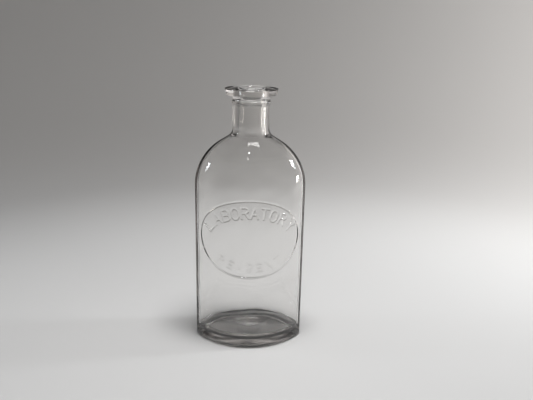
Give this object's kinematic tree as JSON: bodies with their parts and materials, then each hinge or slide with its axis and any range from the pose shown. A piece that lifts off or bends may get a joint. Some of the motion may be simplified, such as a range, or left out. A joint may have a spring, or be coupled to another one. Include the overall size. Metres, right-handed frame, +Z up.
{
  "type": "reagent bottle",
  "caption": "Flattened-oval glass reagent bottle with upright side edges, rounded shoulder, narrow round neck, flanged lip and a raised lettered oval in front.",
  "frame": {"origin": "centre of the foot, on the plane the bottle stands on", "axes": "+Z up the bottle's axis through the mouth; the raised oval faces -Y; +X is to the right of someone reading the lettering"},
  "size_m": [0.07, 0.0455, 0.1659],
  "materials": {
    "body_glass": "gloss, faintly grey, slightly wavy",
    "base_glass": "gloss, thick, faint purple-brown cast",
    "lip_glass": "gloss, fire-polished, faint brown cast"
  },
  "bodies": {
    "root": {"base": "base_glass", "barrel": "body_glass", "shoulder": "body_glass", "neck": "body_glass", "applied_lip": "lip_glass", "oval_frame": "body_glass", "upper_lettering": "body_glass", "lower_lettering": "body_glass"}
  },
  "joints": []
}
